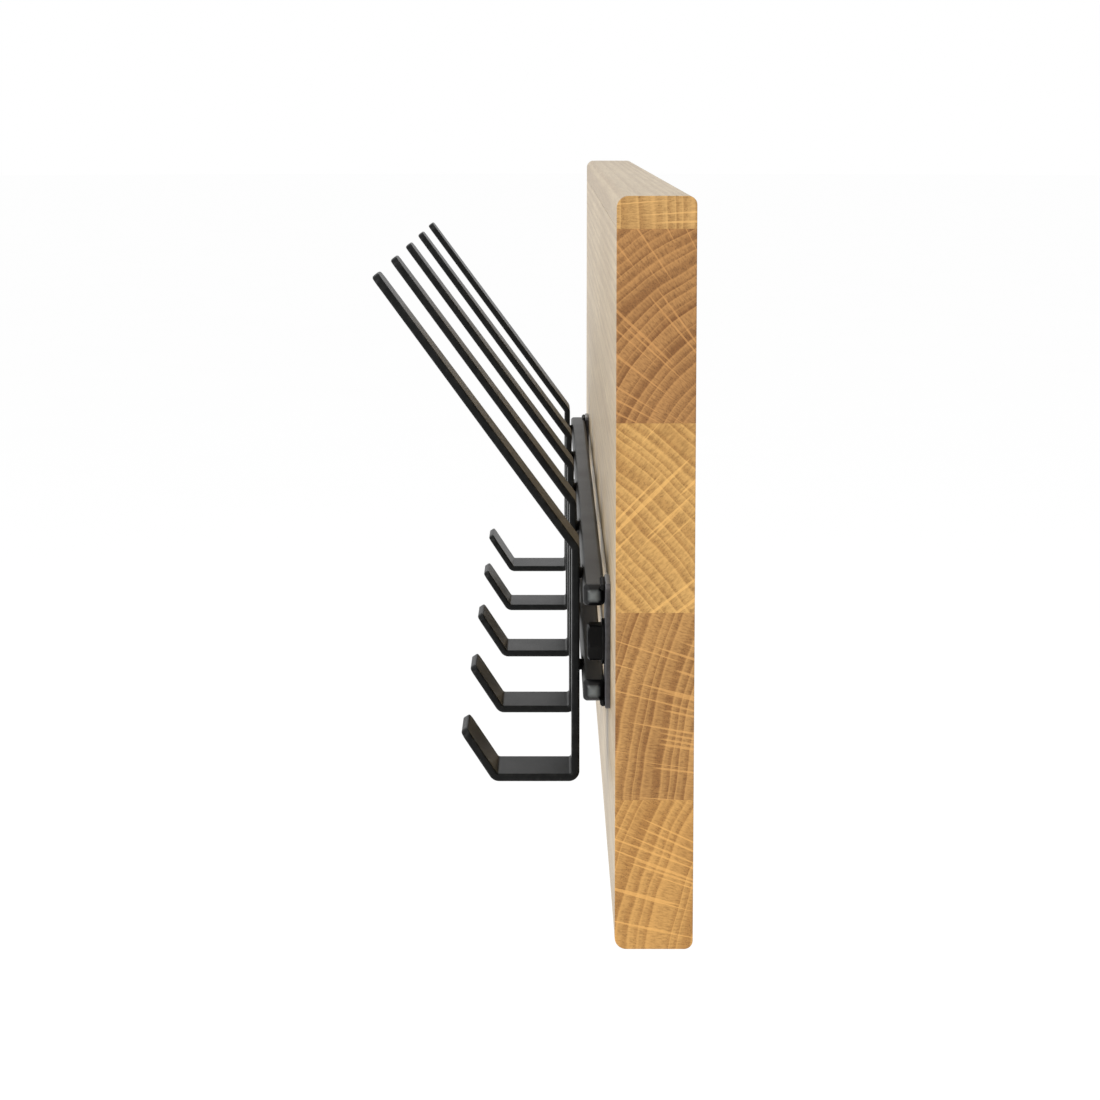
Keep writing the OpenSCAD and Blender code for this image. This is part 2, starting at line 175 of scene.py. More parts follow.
def oak(name, end, pith, ring, light, dark, tilt=(0.0, 0.0), seed=0.0, rays=1.0):
    """Oak as a solid: rings round a pith line that runs along X, rays out from it, pores along it.
    pith is (y, z) of that line and ring the ring width, all in mm. end is True for the sawn ends."""
    t = Tree(name, light, 0.5)
    x, y, z = t.split(t.where())
    wander = 7.0 if end else 3.5
    sway = t.noise(t.vec(t.m("MULTIPLY", x, 0.0016), t.m("MULTIPLY", y, 0.022), t.m("ADD", t.m("MULTIPLY", z, 0.022), seed)), 1.0, 2.0)
    sway = t.m("MULTIPLY", t.m("SUBTRACT", sway, 0.5), wander)
    yy = t.m("ADD", t.m("SUBTRACT", y, pith[0]), t.m("MULTIPLY", x, tilt[0]))
    zz = t.m("ADD", t.m("SUBTRACT", z, pith[1]), t.m("MULTIPLY", x, tilt[1]))
    r = t.m("SQRT", t.m("ADD", t.m("MULTIPLY", yy, yy), t.m("MULTIPLY", zz, zz)))
    r = t.m("ADD", r, sway)
    # good and lean years: the rings are of uneven width
    uneven = t.m("MULTIPLY", t.noise(t.vec(t.m("MULTIPLY", r, 0.09), seed, 0.0), 1.0, 2.0), 3.4)
    turn = t.m("ADD", t.m("DIVIDE", r, ring), uneven)
    phase = t.m("FRACT", turn)
    # porous early wood starts each ring, dense late wood ends it
    early = t.ramp(phase, (0.0, 0.55), (0.07, 1.0), (0.32, 0.75), (0.52, 0.12), (0.93, 0.0), (1.0, 0.55))
    late = t.ramp(phase, (0.0, 0.0), (0.74, 0.0), (0.88, 1.0), (0.94, 0.9), (1.0, 0.0))
    year = t.noise(t.vec(t.m("MULTIPLY", t.m("FLOOR", turn), 3.17), seed, 1.5), 1.0, 0.0)
    # pores: fine dots on the ends, short dashes along the faces
    pv = t.vec(t.m("MULTIPLY", x, 0.05), y, z)
    pores = t.ramp(t.cells(pv, 1.45), (0.0, 1.0), (0.22, 0.9), (0.34, 0.0), (1.0, 0.0))
    pores = t.m("MULTIPLY", pores, t.m("ADD", t.m("MULTIPLY", early, 0.85), 0.10))
    ang = t.m("ARCTAN2", zz, yy)
    fine = t.noise(t.vec(t.m("MULTIPLY", x, 0.02), t.m("MULTIPLY", y, 1.0), t.m("ADD", t.m("MULTIPLY", z, 1.0), seed)), 1.9, 4.0, 0.65)
    broad = t.noise(t.vec(t.m("MULTIPLY", x, 0.006), t.m("MULTIPLY", y, 0.05), t.m("ADD", t.m("MULTIPLY", z, 0.05), seed)), 1.0, 2.0)
    if end:
        span = math.hypot(pith[0] + 13.5, 60.0)
        # a few strong rays and many faint ones, all pointing at the pith
        rv = t.vec(t.m("MULTIPLY", ang, span / 1.05), t.m("MULTIPLY", r, 0.018), seed)
        ray = t.ramp(t.noise(rv, 1.0, 0.0, 0.5), (0.0, 0.0), (0.668, 0.0), (0.705, 1.0), (1.0, 1.0))
        fv = t.vec(t.m("MULTIPLY", ang, span / 1.15), t.m("MULTIPLY", r, 0.075), seed + 4.0)
        hair = t.ramp(t.noise(fv, 1.0, 2.0, 0.6), (0.0, 0.0), (0.52, 0.0), (0.66, 1.0), (1.0, 1.0))
        tick = t.noise(t.vec(t.m("MULTIPLY", ang, span / 0.55), t.m("MULTIPLY", r, 0.45), seed + 8.0), 1.0, 2.0, 0.6)
        deep = tuple(c * 0.60 for c in dark)
        pale = tuple(min(1.0, c * 1.32) for c in light)
        amount = t.m("ADD", t.m("MULTIPLY", early, 0.60), t.m("MULTIPLY", t.m("SUBTRACT", broad, 0.42), 1.2), clamp=True)
        amount = t.m("ADD", amount, t.m("MULTIPLY", t.m("SUBTRACT", year, 0.5), 0.9), clamp=True)
        col = t.mix(amount, light, dark)
        col = t.mix(t.fit(tick, 0.42, 0.70, 0.0, 0.55), col, deep)
        col = t.mix(t.m("MULTIPLY", late, 0.34), col, pale)
        col = t.mix(t.m("MULTIPLY", hair, 0.15), col, pale)
        col = t.mix(t.m("MULTIPLY", pores, 0.52), col, tuple(c * 0.42 for c in dark))
        col = t.mix(t.m("MULTIPLY", ray, 0.56 * rays), col, tuple(min(1.0, c * 1.42) for c in light))
        rough = t.m("ADD", 0.60, t.m("MULTIPLY", tick, 0.16))
        height = t.m("SUBTRACT", t.m("MULTIPLY", late, 0.3), t.m("ADD", pores, t.m("MULTIPLY", tick, 0.5)))
        t.bump(height, 0.40, 0.0002)
    else:
        rv = t.vec(t.m("MULTIPLY", ang, 34.0), t.m("MULTIPLY", r, 0.035), t.m("ADD", t.m("MULTIPLY", x, 0.02), seed))
        ray = t.ramp(t.noise(rv, 1.25, 3.0, 0.6), (0.0, 0.0), (0.55, 0.0), (0.66, 1.0), (1.0, 1.0))
        amount = t.m("ADD", t.m("MULTIPLY", early, 0.60), t.m("MULTIPLY", t.m("SUBTRACT", broad, 0.40), 1.0), clamp=True)
        col = t.mix(amount, light, dark)
        streak = t.noise(t.vec(t.m("MULTIPLY", x, 0.012), t.m("MULTIPLY", y, 0.45), t.m("ADD", t.m("MULTIPLY", z, 0.45), seed)), 1.6, 3.0, 0.6)
        col = t.mix(t.fit(streak, 0.42, 0.72, 0.0, 0.5), col, tuple(c * 0.80 for c in dark))
        col = t.mix(t.fit(fine, 0.35, 0.72, 0.0, 0.42), col, tuple(c * 0.74 for c in dark))
        col = t.mix(t.m("MULTIPLY", ray, 0.20 * rays), col, tuple(min(1.0, c * 1.18) for c in light))
        col = t.mix(t.m("MULTIPLY", pores, 0.55), col, tuple(c * 0.50 for c in dark))
        # shorter lengths finger-jointed into each stave: each has its own tone
        step = t.m("FLOOR", t.m("DIVIDE", t.m("ADD", x, 300.0 + 71.0 * (seed % 5)), 148.0 + 9.0 * (seed % 3)))
        tone = t.noise(t.vec(t.m("MULTIPLY", step, 3.71), seed, 0.5), 1.0, 0.0)
        col = t.mix(t.fit(tone, 0.3, 0.7, 0.0, 0.30), col, tuple(c * 0.86 for c in dark))
        rough = t.m("ADD", 0.44, t.m("MULTIPLY", fine, 0.18))
        height = t.m("SUBTRACT", t.m("MULTIPLY", fine, 0.4), pores)
        t.bump(height, 0.30, 0.00015)
        # a thin satin oil finish, which pales the face where it is seen edge on
        t.bsdf.inputs["Coat Weight"].default_value = 0.45
        t.bsdf.inputs["Coat Roughness"].default_value = 0.33
        # the face is made darker over its last 1.8 mm before the sawn ends
        rim = t.fit(t.m("ABSOLUTE", x), 298.2, 300.0, 0.0, 0.35)
        col = t.mix(rim, col, tuple(c * 0.55 for c in dark))
    t.put(col, t.bsdf.inputs["Base Color"])
    t.put(rough, t.bsdf.inputs["Roughness"])
    t.bsdf.inputs["Specular IOR Level"].default_value = 0.35
    return t.mat


def powder(name, base, wear_and_edge_highlight, rough=0.42, grain=0.20, seed=0.0, shine=0.30):
    """Fine-textured powder coat with faint handling marks, and paler edges that are partly rubbed wear and partly a
    painted edge highlight.
    """
    t = Tree(name, base, rough)
    p = t.where()
    x, y, z = t.split(p)
    p = t.vec(x, y, t.m("ADD", z, seed * 37.0))
    orange = t.noise(p, 2.2, 2.0, 0.5)
    speck = t.noise(p, 6.5, 1.0, 0.5)
    cloud = t.noise(p, 0.05, 3.0, 0.55)
    scuff = t.noise(t.vec(t.m("MULTIPLY", x, 0.25), y, t.m("MULTIPLY", z, 0.35)), 0.55, 4.0, 0.7)
    col = t.mix(t.fit(cloud, 0.35, 0.70, 0.0, 0.6), base, tuple(c * 0.72 for c in base))
    col = t.mix(t.fit(scuff, 0.60, 0.80, 0.0, 0.45), col, wear_and_edge_highlight)
    col = t.mix(t.fit(speck, 0.62, 0.80, 0.0, 0.35), col, wear_and_edge_highlight)
    # paler edges found by Pointiness: partly rubbed wear, partly a painted highlight along the edges
    g = t.t.nodes.new("ShaderNodeNewGeometry")
    edge = t.ramp(g.outputs["Pointiness"], (0.0, 0.0), (0.515, 0.0), (0.58, 1.0), (1.0, 1.0))
    rubbed_edge_and_highlight = t.m("MULTIPLY", edge, t.fit(t.noise(p, 0.35, 3.0, 0.6), 0.40, 0.62))
    col = t.mix(t.m("MULTIPLY", rubbed_edge_and_highlight, 0.5), col, tuple(min(1.0, c * 2.2) for c in wear_and_edge_highlight))
    t.put(col, t.bsdf.inputs["Base Color"])
    t.put(t.m("ADD", rough - 0.09, t.m("ADD", t.m("MULTIPLY", cloud, 0.10), t.m("MULTIPLY", speck, 0.09))), t.bsdf.inputs["Roughness"])
    t.bump(t.m("ADD", orange, t.m("MULTIPLY", speck, 0.4)), grain, 0.00012)
    t.bsdf.inputs["Specular IOR Level"].default_value = shine
    return t.mat


def plastic(name, base, seed=0.0):
    """Moulded plastic: satin skin, faint flow marks, fine spark-eroded grain."""
    t = Tree(name, base, 0.3)
    p = t.where()
    flow = t.noise(p, 0.35, 2.0, 0.5)
    skin = t.noise(p, 9.0, 2.0, 0.6)
    # a pale patch painted on the crown of the dome: a painted highlight standing in for the glossy ball highlight
    x, y, z = t.split(p)
    painted_crown_highlight = t.m("MULTIPLY", t.fit(t.m("ABSOLUTE", x), 234.5, 235.4, 0.0, 0.50), t.fit(flow, 0.2, 0.5, 0.75, 1.0))
    col = t.mix(t.fit(flow, 0.3, 0.7, 0.0, 0.7), base, tuple(c * 1.5 for c in base))
    col = t.mix(t.fit(skin, 0.55, 0.8, 0.0, 0.35), col, tuple(c * 0.6 for c in base))
    # mix the painted highlight colour onto the crown
    col = t.mix(painted_crown_highlight, col, srgb(150, 156, 156))
    t.put(col, t.bsdf.inputs["Base Color"])
    t.put(t.fit(skin, 0.2, 0.8, 0.27, 0.37), t.bsdf.inputs["Roughness"])
    t.bump(skin, 0.12, 0.00006)
    return t.mat


def steel(name, base, rough, metallic, along=(1.0, 1.0, 1.0), marks=0.4):
    """Plated or oxide-blackened steel with drawn scratches and patchy plating."""
    t = Tree(name, base, rough, metallic)
    x, y, z = t.split(t.where())
    v = t.vec(t.m("MULTIPLY", x, along[0]), t.m("MULTIPLY", y, along[1]), t.m("MULTIPLY", z, along[2]))
    drawn = t.noise(v, 3.0, 4.0, 0.7)
    patch = t.noise(v, 0.22, 3.0, 0.6)
    pit = t.cells(t.where(), 2.3)
    col = t.mix(t.fit(patch, 0.35, 0.7, 0.0, 0.6), base, tuple(c * 0.72 for c in base))
    col = t.mix(t.fit(drawn, 0.5, 0.8, 0.0, marks), col, tuple(min(1.0, c * 1.35 + 0.01) for c in base))
    col = t.mix(t.m("MULTIPLY", t.ramp(pit, (0.0, 1.0), (0.10, 0.6), (0.16, 0.0), (1.0, 0.0)), 0.3), col, tuple(c * 0.5 for c in base))
    t.put(col, t.bsdf.inputs["Base Color"])
    t.put(t.fit(drawn, 0.2, 0.8, rough - 0.08, rough + 0.12), t.bsdf.inputs["Roughness"])
    t.bump(drawn, 0.10, 0.00006)
    return t.mat


# ------------------------------------------------------------------ mesh helpers

def piece(name, verts, faces, mats, picks=None, sharp=32.0, smooth=True):
    """verts in mm. picks gives each face its material's place in mats."""
    me = bpy.data.meshes.new(name)
    me.from_pydata([(v[0] * MM, v[1] * MM, v[2] * MM) for v in verts], [], faces)
    for m in mats:
        me.materials.append(m)
    if picks:
        me.polygons.foreach_set("material_index", picks)
    me.polygons.foreach_set("use_smooth", [smooth] * len(me.polygons))
    me.update()
    me.validate()
    if smooth:
        me.set_sharp_from_angle(angle=math.radians(sharp))
    o = bpy.data.objects.new(name, me)
    bpy.context.scene.collection.objects.link(o)
    w = o.modifiers.new("even_shading", "WEIGHTED_NORMAL")
    w.keep_sharp = True
    w.weight = 80
    return o


def rings_to_faces(n_rings, n, start=0, loop=False):
    """Quads between successive closed rings of n points each."""
    f = []
    for i in range(n_rings - (0 if loop else 1)):
        a, b = start + i * n, start + ((i + 1) % n_rings) * n
        for k in range(n):
            q = (k + 1) % n
            f.append((a + k, a + q, b + q, b + k))
    return f


def rounded_square(half_w, half_h, r, steps=5):
    pts = []
    for cx, cy, a0 in ((half_w - r, half_h - r, 0), (r - half_w, half_h - r, 90), (r - half_w, r - half_h, 180), (half_w - r, r - half_h, 270)):
        for k in range(steps + 1):
            a = math.radians(a0 + 90 * k / steps)
            pts.append((cx + r * math.cos(a), cy + r * math.sin(a)))
    return pts


def add(name, verts, faces, mats, node, slot, **kw):
    o = piece(name, verts, faces, mats, **kw)
    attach(o, "root")
    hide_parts(node)
    return o


def lathe(profile, n=56):
    """Closed ring or capped solid from (radius, height) pairs; axis +Z. Radius 0 makes a pole."""
    verts, rings = [], []
    for r, h in profile:
        if r <= 1e-9:
            rings.append([len(verts)])
            verts.append((0, 0, h))
        else:
            rings.append([len(verts) + k for k in range(n)])
            verts += [(r * math.cos(2 * math.pi * k / n), r * math.sin(2 * math.pi * k / n), h) for k in range(n)]
    faces = []
    for a, b in zip(rings, rings[1:]):
        for k in range(n):
            q = (k + 1) % n
            if len(a) == 1 and len(b) > 1:
                faces.append((a[0], b[q], b[k]))
            elif len(b) == 1 and len(a) > 1:
                faces.append((a[k], a[q], b[0]))
            elif len(a) > 1:
                faces.append((a[k], a[q], b[q], b[k]))
    return verts, faces


def towards_front(verts, at):
    """Turns a shape drawn with its axis on +Z so that the axis points to the front, -Y, and moves it."""
    return [(at[0] + v[0], at[1] - v[2], at[2] + v[1]) for v in verts]


def join(parts):
    verts, faces = [], []
    for v, f in parts:
        base = len(verts)
        verts += v
        faces += [tuple(i + base for i in q) for q in f]
    return verts, faces


# ------------------------------------------------------------------ board

STAVES = {
    # node: end-grain pith (y, z), ring, end colours, face colours
    "stave_top": dict(pith=(-140.0, 118.0), ring=4.0, end=((208, 166, 106), (172, 128, 74)), seed=1.0, gain=(0.826, 0.79, 0.72), tilt=(0.0012, 0.002)),
    "stave_upper": dict(pith=(44.0, 22.0), ring=3.5, end=((200, 152, 96), (150, 104, 58)), seed=2.0, gain=(0.705, 0.645, 0.56), tilt=(0.001, -0.0015)),
    "stave_middle": dict(pith=(-190.0, -150.0), ring=3.6, end=((222, 176, 112), (182, 134, 78)), seed=3.6, gain=(0.77, 0.74, 0.616), tilt=(-0.002, 0.0012)),
    "stave_lower": dict(pith=(190.0, -91.0), ring=3.9, end=((196, 150, 94), (146, 100, 54)), seed=4.0, gain=(0.845, 0.81, 0.695), tilt=(0.0015, 0.002)),
    "stave_bottom": dict(pith=(118.0, -148.0), ring=4.3, end=((220, 174, 114), (180, 132, 78)), seed=5.0, gain=(0.757, 0.686, 0.50), tilt=(-0.0012, -0.0018)),
}
FACES = {
    "stave_top": ((190, 170, 134), (160, 134, 96)),
    "stave_upper": ((200, 179, 142), (164, 138, 99)),
    "stave_middle": ((194, 173, 134), (160, 133, 94)),
    "stave_lower": ((201, 180, 144), (166, 140, 101)),
    "stave_bottom": ((197, 177, 142), (162, 138, 100)),
}
b_lo, b_hi = box_mm("stave_middle")
X0, X1, Y0, Y1 = b_lo[0], b_hi[0], b_lo[1], b_hi[1]
Z0, Z1 = box_mm("stave_bottom")[0][2], box_mm("stave_top")[1][2]
FRONT_R, BACK_R, EASE, SEAM = 4.0, 3.0, 0.4, 0.16


def stave_profile(z_low, z_high):
    """Closed outline (y, z, outward y, outward z) of a stave's cross-section, outer corners rounded, glued edges barely eased."""
    pts = []

    def corner(y, z, sy, sz, outer):
        # sy, sz: signs of the outward directions at this corner
        if outer:
            r = FRONT_R if sy < 0 else BACK_R
            steps = 8
        else:
            r, steps = SEAM, 2
        out = []
        for k in range(steps + 1):
            a = math.radians(90 * k / steps)
            ny, nz = sy * math.cos(a), sz * math.sin(a)
            out.append((y - sy * r + r * ny, z - sz * r + r * nz, ny, nz if outer else 0.0))
        return out

    top, bottom = abs(z_high - Z1) < 0.01, abs(z_low - Z0) < 0.01
    a = corner(Y0, z_low, -1, -1, bottom)          # front bottom: from the front face to underneath
    b = corner(Y1, z_low, 1, -1, bottom)           # back bottom
    c = corner(Y1, z_high, 1, 1, top)              # back top
    d = corner(Y0, z_high, -1, 1, top)             # front top
    ring = list(a) + list(reversed(b)) + list(c) + list(reversed(d))
    return ring


def between(a, b, n):
    return [a + (b - a) * k / n for k in range(n + 1)]


def make_stave(node, hangers=False):
    lo, hi = box_mm(node)
    s = STAVES[node]
    end = oak("oak_end_" + node, True, s["pith"], s["ring"], *[tuple(c * g for c, g in zip(srgb(*rgb), s["gain"])) for rgb in s["end"]], s["tilt"], s["seed"])
    face = oak("oak_face_" + node, False, s["pith"], s["ring"], srgb(*FACES[node][0]), srgb(*FACES[node][1]), s["tilt"], s["seed"])
    if hangers:
        o = nodes[node]
        o.data.materials.clear()
        o.data.materials.append(face)
        o.data.materials.append(end)
        for q in o.data.polygons:
            q.material_index = 1 if abs(q.center.x) > 0.2995 else 0
        return o
    ring = stave_profile(lo[2], hi[2])
    n = len(ring)
    stations = []
    for k in range(5):
        a = math.radians(90 * k / 4)
        stations.append((X0 + EASE * (1 - math.cos(a)) if k else X0, EASE * (1 - math.sin(a))))
    xs = [X0 + EASE + (X1 - X0 - 2 * EASE) * k / 12 for k in range(13)]
    stations += [(x, 0.0) for x in xs[1:-1]]
    for k in range(4, -1, -1):
        a = math.radians(90 * k / 4)
        stations.append((X1 - EASE * (1 - math.cos(a)) if k else X1, EASE * (1 - math.sin(a))))
    verts = []
    for x, inset in stations:
        for y, z, ny, nz in ring:
            verts.append((x, y - ny * inset, z - nz * inset))
    faces = rings_to_faces(len(stations), n)
    faces.append(tuple(reversed(range(n))))
    last = (len(stations) - 1) * n
    faces.append(tuple(range(last, last + n)))
    picks = [1 if k < 4 * n or k >= (len(stations) - 5) * n else 0 for k in range(len(faces))]
    return add("board_" + node, verts, faces, [face, end], node, "oak", picks=picks, sharp=50.0)


for stave in STAVES:
    make_stave(stave, hangers=stave == "stave_upper")

# ------------------------------------------------------------------ rail, caps

coat = powder("powder_coat_rail", srgb(26, 26, 26), srgb(60, 60, 58), 0.38, 0.22, 1.0, 0.12)
coat_hook = powder("powder_coat_hook", srgb(19, 20, 20), srgb(58, 59, 58), 0.34, 0.24, 2.0, 0.09)
# the plate's greyer base and paler edge tone partly paint in the pale highlight along the plate's edge
coat_plate = powder("powder_coat_plate", srgb(44, 43, 45), srgb(92, 90, 94), 0.30, 0.20, 3.0, 0.50)
weld = powder("weld_bead", srgb(10, 10, 10), srgb(32, 32, 32), 0.42, 0.35, 4.0, 0.10)
cap_mat = plastic("cap_plastic", srgb(8, 8, 9))
cap_mat.node_tree.nodes["Principled BSDF"].inputs["Specular IOR Level"].default_value = 0.26
bolt_mat = steel("black_oxide_bolt", (0.0025, 0.0025, 0.0025), 0.34, 0.0, (1.0, 1.0, 1.0), 0.35)
bolt_mat.node_tree.nodes["Principled BSDF"].inputs["Specular IOR Level"].default_value = 0.09
zinc = steel("zinc_plate", (0.55, 0.56, 0.57), 0.34, 1.0, (1.0, 1.0, 0.12), 0.5)
zinc_screw = steel("zinc_screw", (0.50, 0.50, 0.50), 0.30, 1.0, (1.0, 1.0, 1.0), 0.5)

for level in ("upper", "lower"):
    node = "rail_tube_" + level
    lo, hi = box_mm(node)
    cy, cz, half = (lo[1] + hi[1]) / 2, (lo[2] + hi[2]) / 2, (hi[1] - lo[1]) / 2
    outer = rounded_square(half, half, 1.5, 6)
    inner = rounded_square(half - 1, half - 1, 0.6, 6)
    n = len(outer)
    verts = []

    def ring_at(x, pts, k=1.0):
        verts.extend((x, cy + p[0] * k, cz + p[1] * k) for p in pts)

    count = 0
    for x, k in [(lo[0], 0.965), (lo[0] + 0.05, 0.985), (lo[0] + 0.2, 1.0)]:
        ring_at(x, outer, k); count += 1
    for k in range(1, 24):
        ring_at(lo[0] + (hi[0] - lo[0]) * k / 24, outer); count += 1
    for x, k in [(hi[0] - 0.2, 1.0), (hi[0] - 0.05, 0.985), (hi[0], 0.965)]:
        ring_at(x, outer, k); count += 1
    ring_at(hi[0], inner); ring_at(lo[0], inner); count += 2
    add("tube_" + level, verts, rings_to_faces(count, n, loop=True), [coat], node, "black_coat", sharp=40.0)

    for side in ("left", "right"):
        node = f"end_cap_{level}_{side}"
        clo, chi = box_mm(node)
        s = 1 if side == "right" else -1
        x_tube = hi[0] if s > 0 else lo[0]
        head = (chi[0] - x_tube) if s > 0 else (x_tube - clo[0])
        square = rounded_square(half, half, 1.5, 7)
        n = len(square)
        ball = 5.5
        low = 0.35
        prof = [(0.965, 0.02), (0.99, 0.08), (0.998, 0.2), (0.998, low)]
        for k in range(1, 15):
            a = math.radians(90 * k / 15)
            prof.append((0.998 * math.cos(a) ** 0.86, low + (head - low) * math.sin(a)))
        verts = []
        for k, h in prof:
            # from the square of the tube to a ball at the top
            round_r = math.sqrt(max(0.0, ball ** 2 - (h - head + ball) ** 2))
            for p in square:
                reach = math.hypot(*p) * k
                m = min(1.0, round_r / reach) if reach > 1e-6 else 1.0
                verts.append((x_tube + s * h, cy + p[0] * k * m, cz + p[1] * k * m))
        faces = rings_to_faces(len(prof), n)
        tip = len(verts)
        verts.append((x_tube + s * head, cy, cz))
        base = (len(prof) - 1) * n
        faces += [(base + k, base + (k + 1) % n, tip) for k in range(n)]
        # the plug: a hollow sleeve with its open end inside the tube
        plug = []
        sleeve = rounded_square(half - 1.04, half - 1.04, 0.55, 7)
        bore = rounded_square(half - 2.0, half - 2.0, 0.35, 7)
        depth = (x_tube - clo[0]) if s > 0 else (chi[0] - x_tube)
        start = len(verts)
        for h, pts, k in [(0.02, sleeve, 1.0), (-0.35 * depth, sleeve, 1.0), (-0.4 * depth, sleeve, 0.97), (-0.55 * depth, sleeve, 0.97), (-0.6 * depth, sleeve, 1.0), (-0.93 * depth, sleeve, 1.0), (-depth, sleeve, 0.94), (-depth, bore, 1.0), (-0.2, bore, 1.0)]:
            verts.extend((x_tube + s * h, cy + p[0] * k, cz + p[1] * k) for p in pts)
        faces += rings_to_faces(9, n, start=start)
        faces.append(tuple(range(start + 8 * n, start + 9 * n)))
        faces.append(tuple(reversed(range(0, n))))
        if s > 0:
            faces = [tuple(reversed(f)) for f in faces]
        add(f"cap_{level}_{side}", verts, [tuple(reversed(f)) for f in faces], [cap_mat], node, "cap_plastic", sharp=44.0)

# ------------------------------------------------------------------ brackets and fasteners

for side in ("left", "right"):
    lo, hi = box_mm("bracket_plate_" + side)
    cx, cz = (lo[0] + hi[0]) / 2, (lo[2] + hi[2]) / 2
    t = hi[1] - lo[1]
    outline = []
    corners = rounded_square((hi[0] - lo[0]) / 2, (hi[2] - lo[2]) / 2, 2.0, 6)
    for i, p in enumerate(corners):
        q = corners[(i + 1) % len(corners)]
        outline.append(p)
        d = math.hypot(q[0] - p[0], q[1] - p[1])
        for k in range(1, int(d // 3)):
            f = k / int(d // 3)
            outline.append((p[0] + (q[0] - p[0]) * f, p[1] + (q[1] - p[1]) * f))
    n = len(outline)

    def scaled(inset):
        kx, kz = 1 - inset / ((hi[0] - lo[0]) / 2), 1 - inset / ((hi[2] - lo[2]) / 2)
        return [(p[0] * kx, p[1] * kz) for p in outline]

    hole = [(4.4 * p[0] / math.hypot(*p), 4.4 * p[1] / math.hypot(*p)) for p in outline]
    rim = [(4.6 * p[0] / math.hypot(*p), 4.6 * p[1] / math.hypot(*p)) for p in outline]
    rows = [(hole, 0.2), (rim, 0.0), (scaled(0.3), 0.0), (scaled(0.09), 0.09), (scaled(0.0), 0.3), (scaled(0.0), t - 0.6), (scaled(0.05), t - 0.36), (scaled(0.18), t - 0.17), (scaled(0.36), t - 0.04), (scaled(0.6), t), (rim, t), (hole, t - 0.2)]
    verts = [(cx + p[0], hi[1] - h, cz + p[1]) for pts, h in rows for p in pts]
    add("plate_" + side, verts, rings_to_faces(len(rows), n, loop=True), [coat_plate], "bracket_plate_" + side, "black_coat", sharp=40.0)

    # washer
    wlo, whi = box_mm("washer_" + side)
    wt, wr = whi[1] - wlo[1], (whi[0] - wlo[0]) / 2
    prof = [(4.25, 0.0), (wr - 0.25, 0.0), (wr - 0.07, 0.07), (wr, 0.3), (wr, wt - 0.4), (wr - 0.1, wt - 0.14), (wr - 0.4, wt), (4.5, wt), (4.25, wt - 0.2), (4.25, 0.0)]
    v, f = lathe(prof)
    add("washer_ring_" + side, towards_front(v, ((wlo[0] + whi[0]) / 2, whi[1], (wlo[2] + whi[2]) / 2)), f, [bolt_mat], "washer_" + side, "black_bolt", sharp=40.0)

    # hexagon head with turned chamfer, washer face and shank
    blo, bhi = box_mm("lag_bolt_" + side)
    af = (bhi[2] - blo[2]) / 2
    seat = wlo[1]
    head_h = seat - blo[1]
    n = 96
    hexa = []
    for k in range(n):
        a = 2 * math.pi * k / n
        m = (math.degrees(a) % 60) - 30
        rr = af / math.cos(math.radians(m))
        soft = af / math.cos(math.radians(30)) - 0.22
        rr = min(rr, soft) if rr > soft else rr
        hexa.append((a, rr))
    flat_r = af * 0.93
    levels = [
        [(flat_r * 1.0, 0.0)] * n,
        [(rr if False else rr, 0.28) for a, rr in hexa],
        [(rr, head_h - 0.18 - max(0.0, rr - flat_r) * 0.577) for a, rr in hexa],
        [(min(rr, flat_r + 0.12), head_h - 0.05) for a, rr in hexa],
        [(flat_r - 0.25, head_h)] * n,
        [(flat_r - 2.2, head_h)] * n,
        [(flat_r - 2.6, head_h - 0.18)] * n,
    ]
    levels[1] = [(rr, 0.02) for a, rr in hexa]
    levels[0] = [(rr - 0.02, 0.0) for a, rr in hexa]
    verts = [(r * math.cos(a), r * math.sin(a), h) for lv in levels for (a, _), (r, h) in zip(hexa, lv)]
    faces = rings_to_faces(len(levels), n)
    tip = len(verts)
    verts.append((0, 0, head_h - 0.18))
    base = (len(levels) - 1) * n
    faces += [(base + k, base + (k + 1) % n, tip) for k in range(n)]
    faces.append(tuple(reversed(range(n))))
    reach = bhi[1] - seat
    shank = [(0, 0.01), (3.95, 0.01), (3.95, -6.0)]
    z = -6.0
    while z > -(reach - 4.2):
        shank += [(2.9, z - 0.5), (2.9, z - 1.4), (3.95, z - 2.2)]
        z -= 2.4
    shank += [(2.6, -(reach - 2.2)), (0.9, -(reach - 0.1)), (0, -reach)]
    v2, f2 = lathe(list(reversed(shank)), 40)
    v, f = join([(verts, faces), (v2, f2)])
    add("bolt_" + side, towards_front(v, ((blo[0] + bhi[0]) / 2, seat, (blo[2] + bhi[2]) / 2)), f, [bolt_mat], "lag_bolt_" + side, "black_bolt", sharp=24.0)

    # weld beads: overlapping ripples in the corner between tube and plate
    parts = []
    wl, wh = box_mm("bracket_welds_" + side)
    for level, sgn in (("upper", 1), ("lower", -1)):
        tl, th = box_mm("rail_tube_" + level)
        z_face = th[2] if sgn > 0 else tl[2]
        y_face = lo[1]
        n, m = 14, 66
        vv = []
        for i in range(m + 1):
            x = wl[0] + (wh[0] - wl[0]) * i / m
            u = (i / m) * 9.0
            ripple = abs(math.sin(math.pi * u))
            taper = min(1.0, 0.35 + 3.2 * min(i, m - i) / m * 4)
            rad = (1.02 + 0.26 * ripple) * min(1.0, taper)
            for k in range(n):
                a = math.radians(360 * k / n)
